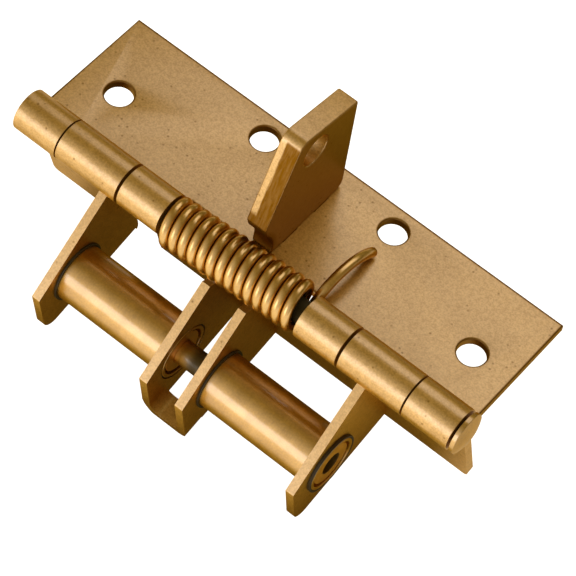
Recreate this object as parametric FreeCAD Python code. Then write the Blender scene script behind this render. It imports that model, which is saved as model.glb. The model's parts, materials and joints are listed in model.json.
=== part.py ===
import FreeCAD, Part
import math
import os

from FreeCAD import Vector

# A spring-loaded hinge with two rollers. A flat frame leaf is screwed down. A carrier leaf hangs
# from the same pin and holds two rollers between its ears. A torsion spring holds it shut.
# Everything is modelled about the pin axis: x runs along the pin with zero at mid-length, y runs
# from the pin towards the frame leaf's far edge, z is up. The carrier is drawn hanging straight
# down and then swung to its rest tilt. At the end all pieces move to the frame's origin, which is
# the middle of the outer screw pair on the frame leaf's back face.

# Sheet, barrel and pin
leaf_length = 100.0
sheet = 1.8
pin_r = 2.4
running_gap = 0.05
bore_r = pin_r + running_gap
barrel_r = bore_r + sheet
fit_gap = 0.02
pin_head_r = 4.2
pin_head_gap = 0.5
pin_head_edge = 0.9
pin_head_rise = 0.9
pin_end_r = 3.1
pin_end_length = 0.7
curl_slit = 0.3

# Frame leaf
leaf_far_y = 31.0
end_knuckle = 9.85
inner_knuckle = 9.35
inner_knuckle_start = 24.8
knuckle_gap_outer = 0.35
knuckle_gap_inner = 0.6
spring_window_y = 6.2
spring_window_end = 0.9
mount_depth = 2.1
mount_gap = 0.05
screw_r = 2.8
outer_screw_inset = 8.7
outer_screw_y = 15.3
inner_screw_inset = 34.9
inner_screw_y = 25.9

# Stop lug
lug_thick = 4.4
lug_mid_x = -0.4
lug_near_y = 7.2
lug_far_bottom_y = 27.6
lug_far_top = (28.0, 23.0)
lug_near_top = (12.2, 25.8)
lug_nose = (4.3, 7.4)
lug_foot_round = 2.0
lug_far_round = 0.6
lug_top_round = 2.6
lug_nose_round = 0.8
lug_spring_clear = 7.2
lug_hole_r = 3.3
lug_hole = (16.6, 19.6)
tenon_length = 4.0
tenon_starts = (10.5, 19.5)

# Torsion spring
wire_r = 0.975
coil_r = 4.1
coil_pitch = 2.1
coil_room_left = 1.7
coil_room_right = 2.65
coil_left_offset = (-0.62, -0.17)
coil_right_offset = (0.2, 0.65)
coil_start_part = 90.0 / 360.0
coil_end_part = 226.0 / 360.0
plate_leg_r = 11.6
leaf_leg_end = 20.0
leaf_leg_bend_drop = 7.9
leaf_leg_lead = 0.7
leaf_leg_bend_r = 4.0

# Carrier leaf
rest_tilt = 15.0
carrier_front = 0.8
carrier_drop = 28.5
carrier_corner_r = 1.2
carrier_spring_drop = 8.8
ear_outer_face = 31.0
ear_relief = 6.0
ear_relief_top = 9.0
ear_bend_r = 2.2

# Ears, as reach in front of the pin axis and drop below it
ear_tip_top = (24.3, 14.8)
ear_tip_low = (25.5, 27.6)
ear_low_drop = 27.6
ear_tip_r = 3.0
ear_tip_top_r = 0.3
ear_edge_start = (4.3, 5.4)
ear_barrel_gap = 0.45

# Centre channel
channel_half_width = 5.1
channel_spring_clear = 7.6
channel_bend_r = 4.0
channel_floor_start = 20.6
channel_floor_drop = 28.4
channel_floor_r = 0.5
channel_tenon = (13.0, 21.0)

# Rollers
roller_reach = 14.6
roller_drop = 18.9
roller_r = 5.8
roller_wall = 0.7
bush_wall = 0.27
bush_flange_r = 6.35
bush_flange = 0.4
bush_recess = 0.25
plug_length = 7.0
plug_recess = 0.25
plug_nose_r = 4.6
plug_nose_length = 1.0
rod_r = 2.4
rod_lip_r = 2.25
rod_recess = 3.0

half_length = leaf_length / 2
plate_top = sheet - barrel_r
ear_hole_r = roller_r + running_gap + bush_wall + fit_gap
x_axis = Vector(1, 0, 0)
over = 1.0

# The tilted carrier stays clear of what the frame leaf is screwed to, down to mount_depth behind
# the leaf's back face. The notches' edges and the carrier's top edge follow from that.
tilt = math.radians(rest_tilt)
carrier_back = carrier_front + sheet
clear_depth = barrel_r + mount_depth
notch_edge_y = carrier_back / math.cos(tilt) + clear_depth * math.tan(tilt) + mount_gap
carrier_top_drop = (clear_depth + carrier_back * math.sin(tilt)) / math.cos(tilt) + mount_gap

# The coil fills the room between the inner knuckles
coil_first_x = -half_length + inner_knuckle_start + inner_knuckle + coil_room_left
coil_turns = math.floor((coil_room_left - coil_room_right - 2 * coil_first_x) / coil_pitch)


def box(x0, x1, y0, y1, z0, z1):
    return Part.makeBox(x1 - x0, y1 - y0, z1 - z0, Vector(x0, y0, z0))


def rod(x0, x1, radius, y=0.0, z=0.0):
    return Part.makeCylinder(radius, x1 - x0, Vector(x0, y, z), x_axis)


def tube(x0, x1, outer_r, inner_r, y=0.0, z=0.0):
    return rod(x0, x1, outer_r, y, z).cut(rod(x0, x1, inner_r, y, z))


def corner_arc(before, corner, after, radius):
    """The start, middle and end of the arc that rounds a corner between two other points."""
    back = (before - corner).normalize()
    ahead = (after - corner).normalize()
    half_angle = back.getAngle(ahead) / 2
    reach = radius / math.tan(half_angle)
    deep = radius / math.sin(half_angle) - radius
    return corner + back * reach, corner + (back + ahead).normalize() * deep, corner + ahead * reach


def rounded_wire(corners):
    """Close a wire through (point, radius) corners, with an arc at each corner that has a radius."""
    points = [point for point, radius in corners]
    arcs = []
    for (corner, radius), before, after in zip(corners, points[-1:] + points, points[1:] + points):
        arcs.append(corner_arc(before, corner, after, radius) if radius else (corner,) * 3)
    edges = []
    for (start, middle, end), (following, *rest) in zip(arcs, arcs[1:] + arcs):
        if start != end:
            edges.append(Part.Arc(start, middle, end).toShape())
        if end.distanceToPoint(following) > Part.Precision.confusion():
            edges.append(Part.LineSegment(end, following).toShape())
    return Part.Wire(edges)


def side_plate(corners, x0, x1):
    """Extrude an outline of (y, z, corner radius) from x0 to x1."""
    wire = rounded_wire([(Vector(x0, y, z), radius) for y, z, radius in corners])
    return Part.Face(wire).extrude(Vector(x1 - x0, 0, 0))


def hung(reach, drop, radius=0.0):
    """A carrier point, given by its reach in front of the pin axis and its drop below it."""
    return (-reach, -drop, radius)


def tilted(shape):
    """Swing a piece of the carrier from straight down to its rest tilt."""
    turned = shape.copy()
    turned.rotate(Vector(0, 0, 0), x_axis, rest_tilt)
    return turned


def mirrored(shape):
    return shape.mirror(Vector(0, 0, 0), x_axis)


def knuckle_spans():
    """The frame leaf's four knuckles, from left to right."""
    left_end = (-half_length, -half_length + end_knuckle)
    left_inner_start = -half_length + inner_knuckle_start
    left_inner = (left_inner_start, left_inner_start + inner_knuckle)
    return [left_end, left_inner, (-left_inner[1], -left_inner[0]), (-left_end[1], -left_end[0])]


def carrier_knuckle_spans():
    """The carrier's two knuckles, each between two of the frame leaf's."""
    ends = knuckle_spans()
    left = (ends[0][1] + knuckle_gap_outer, ends[1][0] - knuckle_gap_inner)
    return [left, (-left[1], -left[0])]


def frame_leaf():
    leaf = box(-half_length, half_length, 0, leaf_far_y, -barrel_r, plate_top)
    spans = knuckle_spans()
    for left, right in zip(spans, spans[1:]):
        leaf = leaf.cut(box(left[1], right[0], -barrel_r, notch_edge_y, -barrel_r - over, barrel_r))
    leaf = leaf.cut(box(spans[1][1], spans[2][0] - spring_window_end, 0, spring_window_y,
                        -barrel_r - over, barrel_r))
    for start, end in spans:
        curl = rod(start, end, barrel_r)
        slit = box(start, end, 0, barrel_r + over, plate_top, plate_top + curl_slit)
        leaf = leaf.fuse(curl.cut(slit))
    leaf = leaf.cut(rod(-half_length - over, half_length + over, bore_r))
    for inset, y in ((outer_screw_inset, outer_screw_y), (inner_screw_inset, inner_screw_y)):
        for side in (-1, 1):
            centre = Vector(side * (half_length - inset), y, -barrel_r - over)
            leaf = leaf.cut(Part.makeCylinder(screw_r, sheet + 2 * over, centre))
    for start in tenon_starts:
        leaf = leaf.cut(lug_tenon(start, fit_gap))
    return leaf.removeSplitter()


def lug_tenon(start, gap):
    half = lug_thick / 2 + gap
    end = start + tenon_length
    return box(lug_mid_x - half, lug_mid_x + half, start - gap, end + gap, -barrel_r, plate_top)


def stop_lug():
    corners = [
        (lug_near_y, plate_top, 0),
        (lug_far_bottom_y, plate_top, lug_foot_round),
        (*lug_far_top, lug_far_round),
        (*lug_near_top, lug_top_round),
        (*lug_nose, lug_nose_round),
    ]
    start = lug_mid_x - lug_thick / 2
    end = start + lug_thick
    lug = side_plate(corners, start, end)
    lug = lug.cut(rod(start - over, end + over, lug_spring_clear))
    for tenon_start in tenon_starts:
        lug = lug.fuse(lug_tenon(tenon_start, 0))
    return lug.cut(rod(start - over, end + over, lug_hole_r, *lug_hole)).removeSplitter()


def hinge_pin():
    head_start = half_length + pin_head_gap
    edge_x = head_start + pin_head_edge
    crown_x = edge_x + pin_head_rise
    shoulder = Vector(edge_x, 0, pin_head_r)
    crown = Vector(crown_x, 0, 0)
    bulge_r = (pin_head_r**2 + pin_head_rise**2) / (2 * pin_head_rise)
    turn = math.asin(pin_head_r / bulge_r) / 2
    bulge = Vector(crown_x - bulge_r * (1 - math.cos(turn)), 0, bulge_r * math.sin(turn))
    outline = [
        Part.LineSegment(Vector(head_start, 0, 0), Vector(head_start, 0, pin_head_r)).toShape(),
        Part.LineSegment(Vector(head_start, 0, pin_head_r), shoulder).toShape(),
        Part.Arc(shoulder, bulge, crown).toShape(),
        Part.LineSegment(crown, Vector(head_start, 0, 0)).toShape(),
    ]
    head = Part.Face(Part.Wire(outline)).revolve(Vector(0, 0, 0), x_axis, 360)
    end_start = -half_length - running_gap - pin_end_length
    shank = rod(end_start, head_start, pin_r)
    peened = Part.makeCone(pin_r, pin_end_r, pin_end_length, Vector(end_start, 0, 0), x_axis)
    return shank.fuse(head).fuse(peened).removeSplitter()


def wire_along(path, follow_helix=False):
    """Sweep the spring wire's round section along a path."""
    edge = path.Edges[0]
    start = edge.valueAt(edge.FirstParameter)
    heading = edge.tangentAt(edge.FirstParameter)
    section = Part.Wire(Part.makeCircle(wire_r, start, heading))
    return path.makePipeShell([section], True, follow_helix)


def coil_path():
    """The coil's helix, on an axis that leans with the play between the coil and the pin."""
    turns = coil_start_part + coil_turns + coil_end_part
    path = Part.makeHelix(coil_pitch, coil_pitch * turns, coil_r)
    path.rotate(Vector(0, 0, 0), Vector(0, 0, 1), 180 - coil_start_part * 360)
    path.rotate(Vector(0, 0, 0), Vector(0, 1, 0), 90)
    length = coil_pitch * coil_turns
    lean = Vector(length, *(b - a for a, b in zip(coil_left_offset, coil_right_offset)))
    path.translate(Vector(-coil_pitch * coil_start_part, 0, 0))
    path.Placement = FreeCAD.Placement(Vector(), FreeCAD.Rotation(x_axis, lean)) * path.Placement
    path.translate(Vector(coil_first_x, *coil_left_offset))
    return Part.Wire(path)


def bent_path(points, radius):
    """Straight runs through the points, with a tangent arc at each point between them."""
    edges = []
    start = points[0]
    for before, corner, after in zip(points, points[1:], points[2:]):
        arc_start, middle, arc_end = corner_arc(before, corner, after, radius)
        edges.append(Part.LineSegment(start, arc_start).toShape())
        edges.append(Part.Arc(arc_start, middle, arc_end).toShape())
        start = arc_end
    edges.append(Part.LineSegment(start, points[-1]).toShape())
    return Part.Wire(edges)


def plate_leg_path(start, heading):
    """One arc that rises out of the coil, arches over and ends where the wire meets the leaf."""
    side = heading.cross(Vector(0, 0, 1)).normalize()
    down = heading.cross(side).normalize()
    climb = math.asin(heading.z)
    level = plate_top - start.z + plate_leg_r * math.cos(climb)
    full_turn = climb + math.acos(level / (plate_leg_r - wire_r))
    points = []
    for turn in (0, full_turn / 2, full_turn):
        along = heading * (plate_leg_r * math.sin(turn))
        points.append(start + along + down * (plate_leg_r * (1 - math.cos(turn))))
    return Part.Wire(Part.Arc(*points).toShape())


def leaf_leg_path(start, heading):
    """Down behind the pin, under the coil and along the carrier leaf's front face."""
    lead = start + heading * leaf_leg_lead
    face_reach = wire_r + fit_gap - carrier_front
    bend = FreeCAD.Rotation(x_axis, rest_tilt).multVec(Vector(0, -face_reach, -leaf_leg_bend_drop))
    end = FreeCAD.Rotation(x_axis, rest_tilt).multVec(Vector(0, -face_reach, -leaf_leg_end))
    bend.x = lead.x
    end.x = lead.x
    return bent_path([start, lead, bend, end], leaf_leg_bend_r)


def torsion_spring():
    path = coil_path()
    first = path.Edges[0]
    last = path.Edges[-1]
    start = first.valueAt(first.FirstParameter)
    start_heading = first.tangentAt(first.FirstParameter)
    end = last.valueAt(last.LastParameter)
    end_heading = last.tangentAt(last.LastParameter)
    legs = [wire_along(plate_leg_path(end, end_heading)),
            wire_along(leaf_leg_path(start, start_heading * -1))]
    return wire_along(path, follow_helix=True).fuse(legs)


def ear_corners(low_drop, tip_r, back_reach):
    """An ear's outline in its own plane, before it is cut back round the barrel."""
    slope = (ear_tip_top[1] - ear_edge_start[1]) / (ear_tip_top[0] - ear_edge_start[0])
    back_drop = ear_edge_start[1] + slope * (back_reach - ear_edge_start[0])
    return [
        hung(back_reach, low_drop),
        hung(back_reach, back_drop),
        hung(*ear_tip_top, ear_tip_top_r),
        hung(ear_tip_low[0], low_drop, tip_r),
    ]


def outer_ear():
    """The right outer ear with its hole, folded forward from the carrier leaf."""
    face = ear_outer_face
    ear = side_plate(ear_corners(ear_low_drop, ear_tip_r, -carrier_front), face - sheet, face)
    ear = ear.cut(rod(face - sheet - over, face + over, barrel_r + ear_barrel_gap))
    return ear.cut(rod(face - sheet - over, face + over, ear_hole_r, -roller_reach, -roller_drop))


def carrier_leaf():
    corners = [
        (-half_length, -carrier_top_drop, 0),
        (half_length, -carrier_top_drop, 0),
        (half_length, -carrier_drop, carrier_corner_r),
        (-half_length, -carrier_drop, carrier_corner_r),
    ]
    outline = rounded_wire([(Vector(x, carrier_front, z), radius) for x, z, radius in corners])
    leaf = Part.Face(outline).extrude(Vector(0, sheet, 0))
    knuckles = carrier_knuckle_spans()
    window = (knuckles[0][1], knuckles[1][0])
    leaf = leaf.cut(box(*window, 0, carrier_back + over, -carrier_spring_drop, 0))
    for start, end in knuckles:
        curl = rod(start, end, barrel_r)
        neck = box(start, end, carrier_front, carrier_back, -carrier_top_drop - over, -bore_r)
        slit = box(start, end, carrier_front - curl_slit, carrier_front, -barrel_r - over, 0)
        leaf = leaf.fuse(curl.fuse(neck).cut(slit))
    leaf = leaf.cut(rod(-half_length - over, half_length + over, bore_r))
    inner_face = ear_outer_face - sheet
    low_end = -carrier_drop - over
    relief = box(inner_face - ear_relief, inner_face, 0, carrier_back + over,
                 low_end, -ear_relief_top)
    for side_relief in (relief, mirrored(relief)):
        leaf = leaf.cut(side_relief)
    for ear in (outer_ear(), mirrored(outer_ear())):
        leaf = leaf.fuse(ear)
    bend_x = inner_face + ear_bend_r
    bend_y = carrier_back - ear_bend_r
    bend = box(inner_face, bend_x, bend_y, carrier_back, low_end, -ear_relief_top)
    bend = bend.cut(Part.makeCylinder(ear_bend_r, carrier_drop, Vector(bend_x, bend_y, low_end)))
    for side_bend in (bend, mirrored(bend)):
        leaf = leaf.cut(side_bend)
    for side in (-1, 1):
        leaf = leaf.cut(channel_tenon_block(side, fit_gap))
    return tilted(leaf.removeSplitter())


def channel_tenon_block(side, gap):
    near = channel_half_width - sheet - gap
    far = channel_half_width + gap
    start, end = sorted((side * near, side * far))
    return box(start, end, carrier_front, carrier_back,
               -channel_tenon[1] - gap, -channel_tenon[0] + gap)


def centre_channel():
    """Two ears joined by a floor at their tips, folded from one strip."""
    width = channel_half_width
    floor_front = ear_tip_low[0] + over
    strap_corners = [
        (width, -ear_tip_top[1], 0),
        (width, -channel_floor_drop, channel_bend_r),
        (-width, -channel_floor_drop, channel_bend_r),
        (-width, -ear_tip_top[1], 0),
        (sheet - width, -ear_tip_top[1], 0),
        (sheet - width, sheet - channel_floor_drop, channel_bend_r - sheet),
        (width - sheet, sheet - channel_floor_drop, channel_bend_r - sheet),
        (width - sheet, -ear_tip_top[1], 0),
    ]
    outline = rounded_wire([(Vector(x, -floor_front, z), radius) for x, z, radius in strap_corners])
    strap = Part.Face(outline).extrude(Vector(0, floor_front - channel_floor_start, 0))
    outer_form = side_plate(ear_corners(channel_floor_drop, channel_floor_r, 0), -width, width)
    channel = strap.common(outer_form)
    low_front = box(-width, width, -floor_front, -channel_floor_start,
                    -channel_floor_drop, channel_bend_r - channel_floor_drop)
    for start in (-width, width - sheet):
        ear = side_plate(ear_corners(ear_low_drop, 0, -carrier_front), start, start + sheet)
        ear = ear.cut(rod(start - over, start + sheet + over, channel_spring_clear))
        channel = channel.fuse(ear.cut(low_front))
    channel = channel.cut(rod(-width - over, width + over, ear_hole_r, -roller_reach, -roller_drop))
    for side in (-1, 1):
        channel = channel.fuse(channel_tenon_block(side, 0))
    return tilted(channel.removeSplitter())


def at_roller(shape):
    """Move a piece drawn on the x axis to the rollers' axis, then tilt it with the carrier."""
    moved = shape.copy()
    moved.translate(Vector(0, -roller_reach, -roller_drop))
    return tilted(moved)


def ear_bush(ear_face, inward):
    """A flanged bush: its sleeve lines the ear's hole, its flange lies on the roller's side."""
    outer_r = ear_hole_r - fit_gap
    inner_r = roller_r + running_gap
    sleeve_start = ear_face + inward * bush_recess
    flange_start = ear_face + inward * sheet
    sleeve = tube(*sorted((sleeve_start, flange_start)), outer_r, inner_r)
    flange_end = flange_start + inward * bush_flange
    flange = tube(*sorted((flange_start, flange_end)), bush_flange_r, inner_r)
    return at_roller(sleeve.fuse(flange).removeSplitter())


def roller_tube():
    """The right roller's tube, flush with the outer faces of its two ears."""
    return at_roller(tube(channel_half_width - sheet, ear_outer_face, roller_r,
                          roller_r - roller_wall))


def roller_plug(tube_end, inward, mouth_r):
    """A plug pressed into a tube's end, with a stepped nose and a bore for the rod."""
    nose_start = tube_end + inward * plug_recess
    body_start = nose_start + inward * plug_nose_length
    body_end = nose_start + inward * plug_length
    lip_end = tube_end + inward * rod_recess
    body_r = roller_r - roller_wall - fit_gap
    plug = rod(*sorted((nose_start, body_start)), plug_nose_r)
    plug = plug.fuse(rod(*sorted((body_start, body_end)), body_r))
    plug = plug.cut(rod(*sorted((nose_start, lip_end)), mouth_r))
    plug = plug.cut(rod(*sorted((lip_end, body_end)), rod_r + running_gap))
    return at_roller(plug.removeSplitter())


def roller_rod():
    """The rod through both rollers, held endways by the outer plugs' lips."""
    reach = ear_outer_face - rod_recess - running_gap
    return at_roller(rod(-reach, reach, rod_r))


def all_nodes():
    inner_face = channel_half_width - sheet
    nodes = {
        "frame_leaf": frame_leaf(),
        "stop_lug": stop_lug(),
        "hinge_pin": hinge_pin(),
        "torsion_spring": torsion_spring(),
        "carrier_leaf": carrier_leaf(),
        "centre_channel": centre_channel(),
        "roller_rod": roller_rod(),
    }
    right_side = {
        "tube": roller_tube(),
        "bush_outer": ear_bush(ear_outer_face, -1),
        "bush_inner": ear_bush(inner_face, 1),
        "plug_outer": roller_plug(ear_outer_face, -1, rod_lip_r),
        "plug_inner": roller_plug(inner_face, 1, rod_r + running_gap),
    }
    for name, shape in right_side.items():
        nodes["roller_" + name + "_right"] = shape
        nodes["roller_" + name + "_left"] = mirrored(shape)
    return nodes


os.makedirs("parts", exist_ok=True)
for node, shape in all_nodes().items():
    shape.translate(Vector(0, -outer_screw_y, barrel_r))
    if len(shape.Solids) != 1 or not shape.isValid():
        print("CHECK", node, len(shape.Solids), shape.isValid())
    shape.exportStep("parts/" + node + ".step")
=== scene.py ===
# %% [markdown]
# # A sprung hinge with two rollers
#
# The object is a hinge of folded sheet steel under a satin gold coat. A flat leaf with four screw
# holes is screwed down. A second leaf hangs from the same pin, is turned back by a spring round the
# pin, and carries two rollers between folded ears.
#
# The solids come from the CAD frame, at their real size and place. This file gives them what a solid
# lacks: softened edges, the coat with its grain and specks, drawn wire, a studio and a camera.

# %% Load the frame
import json
import math

import bmesh
import bpy
from mathutils import Matrix, Quaternion, Vector

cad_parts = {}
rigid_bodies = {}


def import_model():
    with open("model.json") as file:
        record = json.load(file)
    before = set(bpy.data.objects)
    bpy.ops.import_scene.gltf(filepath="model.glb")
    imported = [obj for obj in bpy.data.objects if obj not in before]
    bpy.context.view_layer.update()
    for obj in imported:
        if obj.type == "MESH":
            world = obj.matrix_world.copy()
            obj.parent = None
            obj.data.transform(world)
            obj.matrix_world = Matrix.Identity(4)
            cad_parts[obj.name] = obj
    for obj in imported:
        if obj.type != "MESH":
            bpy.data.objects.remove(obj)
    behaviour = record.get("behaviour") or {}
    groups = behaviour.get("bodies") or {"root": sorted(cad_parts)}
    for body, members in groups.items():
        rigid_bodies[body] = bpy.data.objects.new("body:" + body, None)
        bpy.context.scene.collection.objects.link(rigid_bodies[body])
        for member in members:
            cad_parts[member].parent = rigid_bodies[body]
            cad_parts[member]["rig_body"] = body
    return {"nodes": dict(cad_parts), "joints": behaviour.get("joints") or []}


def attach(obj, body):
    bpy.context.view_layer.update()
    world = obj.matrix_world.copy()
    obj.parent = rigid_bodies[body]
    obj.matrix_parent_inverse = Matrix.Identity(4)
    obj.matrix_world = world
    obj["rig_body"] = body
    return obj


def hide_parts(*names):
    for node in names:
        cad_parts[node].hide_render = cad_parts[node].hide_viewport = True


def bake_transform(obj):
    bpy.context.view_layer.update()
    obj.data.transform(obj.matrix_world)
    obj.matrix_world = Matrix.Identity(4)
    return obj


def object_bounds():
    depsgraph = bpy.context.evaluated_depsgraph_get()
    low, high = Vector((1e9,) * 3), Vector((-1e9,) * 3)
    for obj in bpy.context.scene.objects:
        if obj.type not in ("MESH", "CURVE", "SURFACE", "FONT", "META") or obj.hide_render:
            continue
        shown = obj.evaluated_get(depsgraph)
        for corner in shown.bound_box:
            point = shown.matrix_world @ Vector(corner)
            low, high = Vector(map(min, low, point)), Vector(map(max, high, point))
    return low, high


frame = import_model()
cad_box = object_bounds()
MM = 0.001
joints = {joint["name"]: joint for joint in frame["joints"]}
pin_middle = Vector(joints["carrier_swing"]["pos_m"])
roller_axis = Vector((0, *joints["roller_right_spin"]["pos_m"][1:]))
print("nodes", len(frame["nodes"]), "pin middle", tuple(pin_middle))

# %% [markdown]
# ## The camera
#
# A view is easiest to copy when it is written as a photographer would say it: how far round and how
# high the camera stands, how far away, how it is rolled, and what it looks at. Those numbers were
# fitted to the corners and holes of the leaf, whose real sizes are known. The lens is long, because
# far edges shrink very little in this picture.

# %% Place the camera
view_azimuth = math.radians(31.31)
view_elevation = math.radians(56.95)
view_roll = math.radians(9.53)
view_distance = 536.8 * MM
lens_mm = 189.75
aim_point = pin_middle + Vector((9.51, 2.2, 0)) * MM

towards_camera = Vector((
    math.sin(view_azimuth) * math.cos(view_elevation),
    -math.cos(view_azimuth) * math.cos(view_elevation),
    math.sin(view_elevation),
))
camera_data = bpy.data.cameras.new("camera")
camera_data.lens = lens_mm
camera = bpy.data.objects.new("camera", camera_data)
camera.location = aim_point + towards_camera * view_distance
upright = towards_camera.to_track_quat("Z", "Y")
camera.rotation_euler = (upright @ Quaternion((0, 0, 1), view_roll)).to_euler()
bpy.context.scene.collection.objects.link(camera)
bpy.context.scene.camera = camera
print("camera at", tuple(round(value, 4) for value in camera.location))

# %% [markdown]
# ## Shader maths as plain Python
#
# A finish is a small sum of patterns: a grain, a mottle, a few specks. Wiring Math nodes by hand hides
# that sum. This class wraps one socket and overloads the operators, so a finish can be read as
# arithmetic. Every other node comes from its one method, which sets the node up first and then feeds
# its sockets.

# %% Wrap a socket


class Value:
    """One socket of a node tree. Arithmetic on it adds Math nodes."""

    def __init__(self, tree, socket=None):
        self.tree = tree
        self.socket = socket

    def node(self, kind, settings=None, sockets=None, output=0):
        """Add a node, set it up, feed its sockets, and return one of its outputs."""
        made = self.tree.nodes.new(kind)
        for name, setting in (settings or {}).items():
            if name == "stops":
                self.fill_ramp(made.color_ramp, setting)
            else:
                setattr(made, name, setting)
        for name, value in (sockets or {}).items():
            if isinstance(value, Value):
                self.tree.links.new(value.socket, made.inputs[name])
            else:
                made.inputs[name].default_value = value
        return Value(self.tree, made.outputs[output])

    def fill_ramp(self, ramp, stops):
        """Give a colour ramp its stops, each a position and a colour."""
        while len(ramp.elements) < len(stops):
            ramp.elements.new(1.0)
        for element, (position, colour) in zip(ramp.elements, stops):
            element.position = position
            element.color = (*colour, 1.0)

    def maths(self, operation, first, second=0.0):
        return self.node("ShaderNodeMath", {"operation": operation}, {0: first, 1: second})

    def __add__(self, other):
        return self.maths("ADD", self, other)

    def __radd__(self, other):
        return self.maths("ADD", other, self)

    def __sub__(self, other):
        return self.maths("SUBTRACT", self, other)

    def __rsub__(self, other):
        return self.maths("SUBTRACT", other, self)

    def __mul__(self, other):
        return self.maths("MULTIPLY", self, other)

    def __rmul__(self, other):
        return self.maths("MULTIPLY", other, self)

    def absolute(self):
        return self.maths("ABSOLUTE", self)

    def greater(self, other):
        """The greater of two values. Two dark places that overlap then don't add up."""
        return self.maths("MAXIMUM", self, other)

    def between(self, low, high):
        """Rise smoothly from 0 at low to 1 at high."""
        return self.node("ShaderNodeMapRange", {"interpolation_type": "SMOOTHSTEP"},
                         {0: self, "From Min": low, "From Max": high})

    def between_mm(self, low_mm, high_mm):
        """The same for a place or a distance, which Blender has in metres."""
        return self.between(low_mm * MM, high_mm * MM)

    def part(self, axis):
        """One of the X, Y and Z parts of a place."""
        return self.node("ShaderNodeSeparateXYZ", {}, {0: self}, output=axis)

    def distance_from(self, point, counted=(0.0, 1.0, 1.0)):
        """How far a place is from a point. counted is 0 for an axis that the distance leaves out.

        Without X, it is the distance from a line along X.
        """
        shift = tuple(-part * share for part, share in zip(point, counted))
        offset = self.node("ShaderNodeVectorMath", {"operation": "MULTIPLY_ADD"},
                           {0: self, 1: counted, 2: shift})
        return offset.node("ShaderNodeVectorMath", {"operation": "LENGTH"}, {0: offset},
                           output="Value")

    def noise(self, size_mm, detail=2.0, stretch=(1, 1, 1)):
        """A soft random pattern whose blots are about size_mm wide."""
        scale = tuple(part / (size_mm * MM) for part in stretch)
        place = self.node("ShaderNodeMapping", {"vector_type": "POINT"},
                          {"Vector": self, "Scale": scale})
        return self.node("ShaderNodeTexNoise", {}, {"Vector": place, "Scale": 1.0,
                                                    "Detail": detail, "Roughness": 0.55})

    def dots(self, spacing_mm, core, rim):
        """Soft round dots, about one in each cell of spacing_mm. core and rim are shares of a cell."""
        cells = self.node("ShaderNodeTexVoronoi", {"feature": "F1"},
                          {"Vector": self, "Scale": 1 / (spacing_mm * MM)}, output="Distance")
        return 1 - cells.between(core, rim)

    def head_on(self):
        """1 where a surface is seen squarely, fading to 0.3 where it is seen edge on."""
        slant = self.node("ShaderNodeLayerWeight", {}, {"Blend": 0.5}, output="Facing")
        return (1 - slant) * (1 - slant) * 0.7 + 0.3

    def bump(self, strength, height_mm):
        """A surface normal that leans with the slopes of this value."""
        return self.node("ShaderNodeBump", {}, {"Strength": strength, "Distance": height_mm * MM,
                                                "Height": self})

    def mix(self, low_colour, high_colour):
        """From low_colour where this value is 0 to high_colour where it is 1."""
        ends = [colour if isinstance(colour, Value) else (*colour, 1.0)
                for colour in (low_colour, high_colour)]
        return self.node("ShaderNodeMix", {"data_type": "RGBA"},
                         {0: self, 6: ends[0], 7: ends[1]}, output=2)


def new_finish(name, constants):
    """A material with its constant sockets set. Returns it, its shader and the object's own place."""
    material = bpy.data.materials.new(name)
    material.use_nodes = True
    shader = material.node_tree.nodes["Principled BSDF"]
    for socket, value in constants.items():
        shader.inputs[socket].default_value = value
    place = Value(material.node_tree).node("ShaderNodeTexCoord", output="Object")
    return material, shader, place


def feed(shader, socket, value):
    """Let a value drive one socket of a shader."""
    value.tree.links.new(value.socket, shader.inputs[socket])


print("shader maths ready")

# %% [markdown]
# ## The gold coat on the sheet
#
# The sheet looks sprayed or dipped: a warm tan metal with no clear mirror in it, a grain finer than a
# millimetre, a few darker specks, and slow drifts of tone. Metal under a clear coat gives that look:
# the metal keeps its strong colour where it is dark, and the coat adds a paler, cleaner glint where a
# lamp shows. The coat is thinner in the dark grains and specks, so that they stay dark in the glint.
# The grain also moves the roughness and lifts a very low bump.

# %% Make the coated sheet
gold_edge = (1.0, 0.76, 0.28, 1.0)
coat_mid, coat_pale = (0.42, 0.208, 0.013), (0.67, 0.365, 0.048)
# The second colour here darkens cut edges and is also painted shade on the lug.
speck_colour, cut_edge_and_shade_colour = (0.16, 0.07, 0.01), (0.17, 0.066, 0.003)
grain_mm, pitting_mm, mottle_mm, drift_mm = 0.34, 0.9, 5.5, 34.0
speck_spacing_mm, speck_crowd_mm = 1.7, 4.0
steep, gentle = (0.34, 0.66), (0.3, 0.7)


def coated_sheet(name, cut_edges_and_shade=None):
    """The last argument, if given, takes the object's own place and says where the coat is thin and
    the colour dark: along cut edges, and as painted shade on the lug.
    """
    material, shader, place = new_finish(name, {
        "Metallic": 1.0, "Specular Tint": gold_edge, "Coat IOR": 2.3, "Coat Roughness": 0.28,
    })
    grain = place.noise(grain_mm)
    pitting = place.noise(pitting_mm)
    mottle = place.noise(mottle_mm)
    drift = place.noise(drift_mm, detail=1.0)
    tone = (grain.between(*steep) * 0.5 + pitting.between(*steep) * 0.25
            + mottle.between(*gentle) * 0.13 + drift * 0.12)
    crowd = place.noise(speck_crowd_mm, detail=0.0).between(0.4, 0.6)
    specks = place.dots(speck_spacing_mm, 0.04, 0.2) * crowd
    colour = (specks * 0.55).mix(tone.mix(coat_mid, coat_pale), speck_colour)
    cover = (0.78 + tone * 0.36) * (1 - specks * 0.6)
    if cut_edges_and_shade:
        # Darker, with less coat, along cut edges and where shade is painted.
        edge_and_shade = cut_edges_and_shade(place)
        colour = edge_and_shade.mix(colour, cut_edge_and_shade_colour)
        cover = cover * (1 - edge_and_shade)
    feed(shader, "Base Color", colour)
    feed(shader, "Roughness", 0.4 + grain * 0.16 + specks * 0.1)
    feed(shader, "Coat Weight", cover * place.head_on())
    feed(shader, "Normal", (grain * 0.5 + pitting * 0.5).bump(0.9, 0.03))
    return material


gold_plate = coated_sheet("gold_plate")
print("made", gold_plate.name)
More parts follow.
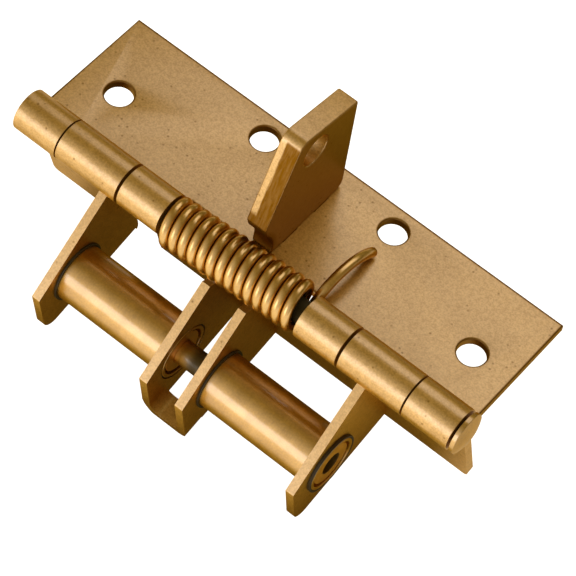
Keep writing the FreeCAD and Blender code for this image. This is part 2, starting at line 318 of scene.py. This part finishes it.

# %% [markdown]
# ## The flat leaf's cut outline
#
# The flat leaf is punched from sheet. Along its cut outline and round its holes it is darker and its
# coat thinner, which draws a fine brown line along its far edge. The places are plain distances: how
# near a point is to the far edge, to an end, or to the middle of a hole. The line along an end stops
# short of the barrel, where it would look like a gap between two knuckles.

# %% Make the flat leaf's coat
leaf_far_edge, leaf_end, barrel_edge = 15.7, 50.0, -9.0
screw_holes = [(side * x, y, 0.0) for x, y in ((41.3, 0.0), (15.1, 10.6)) for side in (-1, 1)]


def cut_outline(place):
    """Where the flat leaf is darker and its coat thinner."""
    across, along = place.part("Y"), place.part("X").absolute()
    thin = across.between_mm(leaf_far_edge - 0.7, leaf_far_edge - 0.4) * 0.92
    end = along.between_mm(leaf_end - 0.5, leaf_end - 0.2) * 0.85
    thin = thin.greater(end * across.between_mm(barrel_edge - 1.0, barrel_edge))
    for hole in screw_holes:
        away = place.distance_from(Vector(hole) * MM, counted=(1.0, 1.0, 0.0))
        thin = thin.greater(0.8 - away.between_mm(2.95, 3.3) * 0.8)
    return thin


leaf_coat = coated_sheet("leaf_coat", cut_outline)
print("made", leaf_coat.name)

# %% [markdown]
# ## The lug's sheared edge and painted shade
#
# The lug is cut from thick bar. Its near edge, which leans back from the spring, is the sheared one:
# the blade burnished its left third, and the rest tore off brown and dull. Shade is painted on it too:
# that edge is darker by the foot, and so are its right face and the corner by the coil. All these
# places are plain geometry: how far a point lies behind the plane of that edge, how high, how far to
# the right, and how far from the pin. A little noise makes the torn part's border wander, as a real
# one does.

# %% Make the lug's own coat
near_edge_low, near_edge_top = (-11.0, 11.65), (-3.1, 30.05)
edge_depth, burnished_side = (0.02, 0.14), (-1.1, -0.7)
# The last pair is how far from the pin the painted shade in the corner by the coil fades out.
foot_top, lug_right_face, shade_reach = 13.0, 1.8, (7.4, 11.0)


def sheared_edge_and_shade(place):
    """Where the lug's coat is torn, and where shade is painted on it: its near edge by the foot, its
    right face and the corner by the coil.
    """
    edge_line = Vector(near_edge_top) - Vector(near_edge_low)
    into_lug = Vector((edge_line.y, -edge_line.x)).normalized()
    level = into_lug.dot(Vector(near_edge_low)) * MM
    depth = place.part("Y") * into_lug.x + place.part("Z") * into_lug.y - level
    edge = 1 - depth.between_mm(*edge_depth)
    wander = place.noise(1.0, detail=3.0, stretch=(2.4, 0.3, 0.3))
    torn = (place.part("X") + wander * 0.6 * MM).between_mm(*burnished_side)
    # Painted shade on the near edge by the foot.
    shaded_foot = 1 - place.part("Z").between_mm(foot_top, foot_top + 1.0)
    torn_and_shaded_edge = edge * torn.greater(shaded_foot) * (0.9 + 0.1 * wander.between(0.35, 0.65))
    # Painted shade: the right face is made darker.
    face = place.part("X").between_mm(lug_right_face - 0.35, lug_right_face) * 0.68
    # Painted shade in the corner by the coil, close to the pin.
    corner = 0.9 - place.distance_from(pin_middle).between_mm(*shade_reach) * 0.9
    return torn_and_shaded_edge.greater(face.greater(corner))


lug_coat = coated_sheet("lug_coat", sheared_edge_and_shade)
print("made", lug_coat.name)

# %% [markdown]
# ## Turned and drawn metal
#
# The rollers, their hubs, the rod and the pin carry the same gold over turned steel, so their grain
# runs round the axis: a noise that is squeezed along the axis and stretched across it. The spring is
# drawn wire, smoother, with an even fine grain. In three places the metal turns into dull dark steel,
# by less Metallic and less coat as well as by colour. On the pin inside the barrel it is bare steel,
# which in the seams between the knuckles also stands in for their shade. In the hubs' bores and on
# most of the rod between the middle ears it is painted shade.

# %% Make the turned parts and the wire
round_lines, even_grain = (3.0, 0.4, 0.4), (1.0, 1.0, 1.0)
# A near-black: the pin's bare shank, and painted shade in the bores and on the rod.
dark_steel_and_shade = (0.014, 0.009, 0.004)


def gold_metal(name, dark, pale, roughness, stretch=round_lines, lines_mm=1.0, bare_and_shaded=None):
    """The last argument, if given, takes the object's own place and says where the metal turns dark:
    bare steel on the pin's shank, which in the knuckles' seams also stands in for their shade, and
    painted shade in the hubs' bores and on the rod's middle.
    """
    material, shader, place = new_finish(name, {
        "Metallic": 1.0, "Specular Tint": gold_edge, "Coat IOR": 2.4, "Coat Roughness": 0.2,
    })
    lines = place.noise(lines_mm, stretch=stretch)
    grain = place.noise(0.4)
    blots = place.noise(3.2)
    tone = (lines.between(*gentle) * 0.2 + grain.between(*gentle) * 0.4
            + blots.between(*gentle) * 0.4)
    colour = tone.mix(dark, pale)
    cover = 0.75 + blots * 0.3
    if bare_and_shaded:
        bare_and_shade = bare_and_shaded(place)
        colour = bare_and_shade.mix(colour, dark_steel_and_shade)
        cover = cover * (1 - bare_and_shade)
        feed(shader, "Metallic", 1 - bare_and_shade * 0.9)
        roughness = roughness + bare_and_shade * 0.2
    feed(shader, "Base Color", colour)
    feed(shader, "Roughness", roughness + grain * 0.12)
    feed(shader, "Coat Weight", cover * place.head_on())
    feed(shader, "Normal", (lines * 0.3 + grain * 0.7).bump(0.4, 0.012))
    return material


def inside_barrel(place):
    """The pin's shank, bare dark steel that in the knuckles' seams also stands in for their shade. Its
    head and its peened end stand out of the barrel and are coated.
    """
    along = place.part("X")
    return along.between_mm(-50.1, -49.9) * (1 - along.between_mm(50.3, 50.5))


def shaded_rod_middle(place):
    """Painted shade on the rod's middle between the middle ears, where only its left end keeps some
    coat.
    """
    return place.part("X").between_mm(-3.2, 0.5) * 0.9


def shaded_bore(place):
    """Painted shade in the hub's bore, just outside the rod."""
    return 0.9 - place.distance_from(roller_axis).between_mm(2.3, 2.5) * 0.9


turned_dark, turned_pale = (0.4, 0.2, 0.015), (0.58, 0.31, 0.034)
gold_turned = gold_metal("gold_turned", (0.44, 0.22, 0.016), (0.64, 0.34, 0.036), 0.42)
pin_metal = gold_metal("pin_metal", turned_dark, turned_pale, 0.36, bare_and_shaded=inside_barrel)
rod_metal = gold_metal("rod_metal", turned_dark, turned_pale, 0.36, bare_and_shaded=shaded_rod_middle)
hub_metal = gold_metal("hub_metal", (0.56, 0.26, 0.02), (0.78, 0.4, 0.06), 0.44, bare_and_shaded=shaded_bore)
gold_wire = gold_metal("gold_wire", (0.48, 0.24, 0.016), (0.68, 0.37, 0.04), 0.25,
                       stretch=even_grain, lines_mm=0.5)
print("made", gold_turned.name, pin_metal.name, rod_metal.name, hub_metal.name, gold_wire.name)

# %% [markdown]
# ## The black bushes
#
# The rings round the rollers are black plastic. Plastic is no metal, so its colour is a warm near
# black, and its gloss comes from a plain highlight, a little uneven where it rubs. That highlight is
# kept low, because a full one would show the rings grey.

# %% Make the bush plastic
bush_dark, bush_worn = (0.02, 0.014, 0.006), (0.07, 0.05, 0.022)


def bush_plastic():
    """Near-black plastic that is paler and duller where it rubs."""
    material, shader, place = new_finish("black_bush", {"Specular IOR Level": 0.35})
    wear = place.noise(0.8)
    feed(shader, "Base Color", wear.mix(bush_dark, bush_worn))
    feed(shader, "Roughness", 0.38 + wear * 0.2)
    return material


finishes = {
    "gold_plate": gold_plate, "leaf_coat": leaf_coat, "lug_coat": lug_coat,
    "gold_turned": gold_turned, "pin_metal": pin_metal, "rod_metal": rod_metal,
    "hub_metal": hub_metal, "gold_wire": gold_wire, "black_bush": bush_plastic(),
}
print("finishes", sorted(finishes))

# %% [markdown]
# ## Soft edges
#
# A pressed or cut edge is never knife sharp, and the thin bright line that it catches is what makes
# sheet metal look real. A CAD node is a bag of loose triangles, so a copy is joined up first, and
# triangles that lie in one plane are merged into one face. A Bevel modifier then rounds every edge
# sharper than a small angle, and hardened normals keep the flats flat.
#
# The flat leaf gets one thing more. A punch draws the sheet in round each hole and along the outline,
# so those rims are rolled first, with a wider round. The middle of the leaf is left out: there the
# rims belong to the slots that the lug's tenons fill.

# %% Round the edges of a copy of a CAD node
sheet, roll_in, lug_reach = 1.8, 0.4, 4.0
edge_segments, rim_segments = 3, 5
sharp_angle, flat_angle, square_angle = math.radians(25.0), math.radians(0.5), 1.0
join_distance, level_distance = 0.002 * MM, 0.01 * MM


def finish_mesh(shape, name, radius_mm):
    """Turn a bmesh into a smooth-shaded piece whose sharp edges are rounded.

    The normals that a CAD mesh brings are dropped, because they would shade it as if it were sharp.
    """
    for face in shape.faces:
        face.smooth = True
    mesh = bpy.data.meshes.new(name)
    shape.to_mesh(mesh)
    shape.free()
    if "custom_normal" in mesh.attributes:
        mesh.attributes.remove(mesh.attributes["custom_normal"])
    piece = bpy.data.objects.new(name, mesh)
    bpy.context.scene.collection.objects.link(piece)
    bevel = piece.modifiers.new("soft_edges", "BEVEL")
    bevel.width = radius_mm * MM
    bevel.segments = edge_segments
    bevel.limit_method = "ANGLE"
    bevel.angle_limit = sharp_angle
    bevel.harden_normals = True
    return piece


def punched_rims(shape, height):
    """The square edges of the face at this height, apart from those under the lug."""
    return [edge for edge in shape.edges if edge.calc_face_angle(0) > square_angle
            and all(abs(vert.co.z - height) < level_distance for vert in edge.verts)
            and any(abs(vert.co.x) > lug_reach * MM for vert in edge.verts)]


def softened(node, radius_mm, punched_face=None):
    """A piece that stands for a CAD node, with its sharp edges rounded.

    punched_face is the height of a face whose own edges the punch drew in.
    """
    shape = bmesh.new()
    shape.from_mesh(frame["nodes"][node].data)
    bmesh.ops.remove_doubles(shape, verts=shape.verts, dist=join_distance)
    bmesh.ops.dissolve_limit(shape, angle_limit=flat_angle, verts=shape.verts, edges=shape.edges)
    if punched_face:
        rims = punched_rims(shape, punched_face)
        bmesh.ops.bevel(shape, geom=rims, offset=roll_in * MM, segments=rim_segments,
                        affect="EDGES", clamp_overlap=False, profile=0.5, material=-1)
        print(node, "rims", len(rims))
    return finish_mesh(shape, node + "_soft", radius_mm)


print("edges sharper than", round(math.degrees(sharp_angle)), "degrees are rounded")

# %% [markdown]
# ## Each piece and its finish
#
# A piece needs three choices: how round its edges are, which finish it wears, and which of the part's
# material slots that finish belongs to. Folded sheet has wider rounds than turned metal, and the thick
# lug has the widest. A table shows those choices side by side better than a call for each piece would.

# %% Dress the pieces
bush_round = 0.08
looks = {
    "frame_leaf": (0.25, "leaf_coat", "gold_plate"),
    "stop_lug": (0.4, "lug_coat", "gold_plate"),
    "carrier_leaf": (0.22, "gold_plate", "gold_plate"),
    "centre_channel": (0.22, "gold_plate", "gold_plate"),
    "hinge_pin": (0.12, "pin_metal", "gold_turned"),
    "roller_rod": (0.15, "rod_metal", "gold_turned"),
}
for side in ("left", "right"):
    looks["roller_tube_" + side] = (0.12, "gold_turned", "gold_turned")
    for end in ("inner", "outer"):
        looks[f"roller_plug_{end}_{side}"] = (0.15, "hub_metal", "gold_turned")
    looks["roller_bush_inner_" + side] = (bush_round, "black_bush", "black_bush")


def dress(piece, node, finish):
    """Give a piece its finish, and let it stand for its node on the node's body."""
    piece.data.materials.clear()
    piece.data.materials.append(finishes[finish])
    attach(piece, frame["nodes"][node]["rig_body"])
    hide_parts(node)


pieces = {}
for node, (radius_mm, finish, slot) in looks.items():
    pieces[node] = softened(node, radius_mm, sheet * MM if node == "frame_leaf" else None)
    dress(pieces[node], node, finish)
print("softened", len(pieces), "pieces")

# %% [markdown]
# ## The channel's two folds
#
# The middle strip is not folded evenly: in the photograph its left fold is a wide sweep and its right
# fold is tight. The CAD solid has two equal folds. Here each point of a fold moves out or in along its
# own radius, on a superellipse: a high power squares the quarter circle off, and a low one flattens
# it. The floor between them also rises a little to the right. That keeps the strip's thickness and
# needs no new mesh.

# %% Reshape the folds
fold_middle_x, fold_middle_drop, fold_radius = 1.1, 24.4, 4.0
left_power, right_power = 1.75, 7.0
floor_start, right_lift = 20.6, 0.2
lift_length = 2 * fold_middle_x + fold_radius
rest_tilt = math.radians(15.0)
to_hung = Matrix.Rotation(-rest_tilt, 4, "X") @ Matrix.Translation(-pin_middle)
from_hung = to_hung.inverted()


def reshape_fold(point, power):
    """Move a point of a quarter circle onto a superellipse of the same width and height."""
    length = math.hypot(*point)
    if not 0 < length < fold_radius + 0.1:
        return point
    share = sum(abs(part / length) ** power for part in point) ** (-1 / power)
    return [part * share for part in point]


for vert in pieces["centre_channel"].data.vertices:
    x, y, z = to_hung @ vert.co / MM
    if -y < floor_start - 0.01 or -z < fold_middle_drop:
        continue
    across = max(abs(x) - fold_middle_x, 0)
    power = right_power if x > 0 else left_power
    across, down = reshape_fold([across, -z - fold_middle_drop], power)
    if abs(x) > fold_middle_x:
        x = math.copysign(fold_middle_x + across, x)
    down *= 1 - right_lift * min(max((x + fold_middle_x) / lift_length, 0), 1)
    vert.co = from_hung @ (Vector((x, y, -fold_middle_drop - down)) * MM)
pieces["centre_channel"].data.update()
print("channel points", len(pieces["centre_channel"].data.vertices))

# %% [markdown]
# ## The rollers' outer ends
#
# Each outer bush has a thin collar on the ear's outer face, and the tube and its hub stand out as far
# as the collar does. The bush is a plain ring, so it is spun: its section is drawn as a few corners
# beside the axis, and the spin sweeps them round. The tube and the hub only need their end points
# moved out.

# %% Spin the outer bushes and draw the tubes out to them
ear_face, ear_inner_face = 31.0, 29.2
collar, collar_radius, flange, flange_radius = 0.65, 6.3, 0.4, 6.35
bush_bore, bush_radius = 5.85, 6.12
tube_end, spin_steps = ear_face - 0.2, 96
bush_section = [
    (ear_inner_face - flange, bush_bore), (ear_inner_face - flange, flange_radius),
    (ear_inner_face, flange_radius), (ear_inner_face, bush_radius), (ear_face, bush_radius),
    (ear_face, collar_radius), (ear_face + collar, collar_radius), (ear_face + collar, bush_bore),
]


def spun_ring(name, section, hand):
    """Sweep a section of (x, radius) corners round the rollers' axis."""
    shape = bmesh.new()
    corners = [shape.verts.new((hand * x * MM, 0, radius * MM)) for x, radius in section]
    rim = [shape.edges.new(pair) for pair in zip(corners, corners[1:] + corners[:1])]
    bmesh.ops.spin(shape, geom=corners + rim, cent=(0, 0, 0), axis=(1, 0, 0), dvec=(0, 0, 0),
                   angle=math.tau, steps=spin_steps, use_merge=True)
    bmesh.ops.recalc_face_normals(shape, faces=shape.faces)
    bmesh.ops.translate(shape, verts=shape.verts, vec=roller_axis)
    return finish_mesh(shape, name, bush_round)


for side, hand in (("left", -1), ("right", 1)):
    ring = spun_ring("roller_collar_" + side, bush_section, hand)
    dress(ring, "roller_bush_outer_" + side, "black_bush")
    for node in ("roller_tube_" + side, "roller_plug_outer_" + side):
        for vert in pieces[node].data.vertices:
            if "plug" in node or hand * vert.co.x > tube_end * MM:
                vert.co.x += hand * collar * MM
        pieces[node].data.update()
print("collar faces", len(ring.data.polygons))

# %% [markdown]
# ## The spring winds
#
# One leg of the spring lies on the flat leaf and the other one bears on the swinging leaf, so the coil
# winds up as the hinge opens. Here its softened mesh is made final and stays at its rest shape.

# %% Make the coil final
spring = softened("torsion_spring", 0.15)
graph = bpy.context.evaluated_depsgraph_get()
wound = bpy.data.meshes.new_from_object(spring.evaluated_get(graph))
spring.modifiers.clear()
spring.data = wound
spring.data.materials.clear()
spring.data.materials.append(gold_wire)
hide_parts("torsion_spring")
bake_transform(spring)
print("spring points", len(spring.data.vertices))

# %% [markdown]
# ## The softboxes
#
# Metal shows what stands round it. A softbox low in front of the hinge gives the barrel, the coil and
# the rollers their broad bright band, and a second one, high behind, lights the flat leaf. The space
# between the two stays darker, which leaves the brown stripe along the barrel's top. Large soft lamps
# do that better than small ones, which would leave hard glints on a satin coat.

# %% Light it


def softbox(name, direction, distance, width, height, brightness):
    """An area lamp that faces the hinge. brightness is its radiance, where white paper shows 1."""
    data = bpy.data.lights.new(name, "AREA")
    data.shape = "RECTANGLE"
    data.size = width
    data.size_y = height
    data.energy = brightness * math.pi * width * height
    lamp = bpy.data.objects.new(name, data)
    towards_lamp = Vector(direction).normalized()
    lamp.location = pin_middle + towards_lamp * distance
    lamp.rotation_euler = towards_lamp.to_track_quat("Z", "Y").to_euler()
    bpy.context.scene.collection.objects.link(lamp)
    print(name, "watts", round(data.energy, 2))


softbox("front_softbox", (-0.28, -0.93, 0.18), 0.75, 0.4, 0.5, 2.05)
softbox("back_softbox", (0.0, 0.58, 0.78), 0.62, 0.6, 0.4, 1.2)

# %% [markdown]
# ## The floor
#
# The floor lies just under the object, and the camera sees it as white paper. The gold reflects it
# too, and a white sheet right under the hinge would wash out the brown undersides that the photograph
# shows. So a reflection finds white paper only some way in front of the hinge, and paper half as
# bright beyond its ends. Close by and behind, it finds a dim warm surface: painted shade, standing for
# the floor in the hinge's own shadow. Those places are distances on the floor itself, so they stay
# where they are when the camera moves.

# %% Lay the floor
floor_drop, floor_half = 0.4 * MM, 3.0
paper, paper_glow = (0.8, 0.8, 0.8), (1.0, 1.0, 1.0)
# The second pair is painted shade: what reflections see of the floor in the hinge's shadow.
shaded_floor, shaded_floor_glow = (0.16, 0.125, 0.035), (0.09, 0.07, 0.018)
front_paper, side_paper = (35.0, 50.0), (39.0, 50.0)

floor_shape = bmesh.new()
bmesh.ops.create_grid(floor_shape, x_segments=1, y_segments=1, size=floor_half)
bmesh.ops.translate(floor_shape, verts=floor_shape.verts,
                    vec=(0, 0, cad_box[0][2] - floor_drop))
floor_mesh = bpy.data.meshes.new("floor")
floor_shape.to_mesh(floor_mesh)
floor_shape.free()
floor = bpy.data.objects.new("floor", floor_mesh)
bpy.context.scene.collection.objects.link(floor)

floor_material, floor_shader, floor_place = new_finish("floor", {
    "Roughness": 0.9, "Specular IOR Level": 0.0, "Emission Strength": 1.0,
})
seen, glossy, through = [floor_place.node("ShaderNodeLightPath", output=name)
                         for name in ("Is Camera Ray", "Is Glossy Ray", "Is Transmission Ray")]
in_front = (floor_place.part("Y") * -1).between_mm(*front_paper)
beside = floor_place.part("X").absolute().between_mm(*side_paper) * 0.5
shown = seen + (glossy + through) * in_front.greater(beside)
feed(floor_shader, "Base Color", shown.mix(shaded_floor, paper))
feed(floor_shader, "Emission Color", shown.mix(shaded_floor_glow, paper_glow))
floor.data.materials.append(floor_material)
print("floor at", round(cad_box[0][2] - floor_drop, 4))

# %% [markdown]
# ## The room
#
# The world stands for the rest of the studio. It is a smooth ramp of brightness round one direction:
# pale low in front, like a big window, and dim and warm behind, which is what the ears' shaded faces
# and the underside of the coil reflect. A ramp is enough, because a satin coat blurs what stands far
# off.

# %% Surround it
to_window = Vector((-0.15, -0.93, -0.34)).normalized()
room_stops = [
    (0.0, (0.13, 0.11, 0.05)), (0.22, (0.2, 0.16, 0.07)), (0.42, (0.2, 0.152, 0.05)),
    (0.58, (0.36, 0.32, 0.2)), (0.78, (0.6, 0.58, 0.52)), (1.0, (0.85, 0.85, 0.85)),
]
room_strength = 1.4

world = bpy.data.worlds.new("studio")
bpy.context.scene.world = world
world.use_nodes = True
heading = Value(world.node_tree).node("ShaderNodeTexCoord", output="Generated")
facing = heading.node("ShaderNodeVectorMath", {"operation": "DOT_PRODUCT"},
                      {0: heading, 1: to_window}, output="Value")
room = facing.node("ShaderNodeValToRGB", {"stops": room_stops}, {0: facing * 0.5 + 0.5})
background = world.node_tree.nodes["Background"]
world.node_tree.links.new(room.socket, background.inputs["Color"])
background.inputs["Strength"].default_value = room_strength
bpy.context.scene.view_settings.view_transform = "Standard"
print("room strength", room_strength)
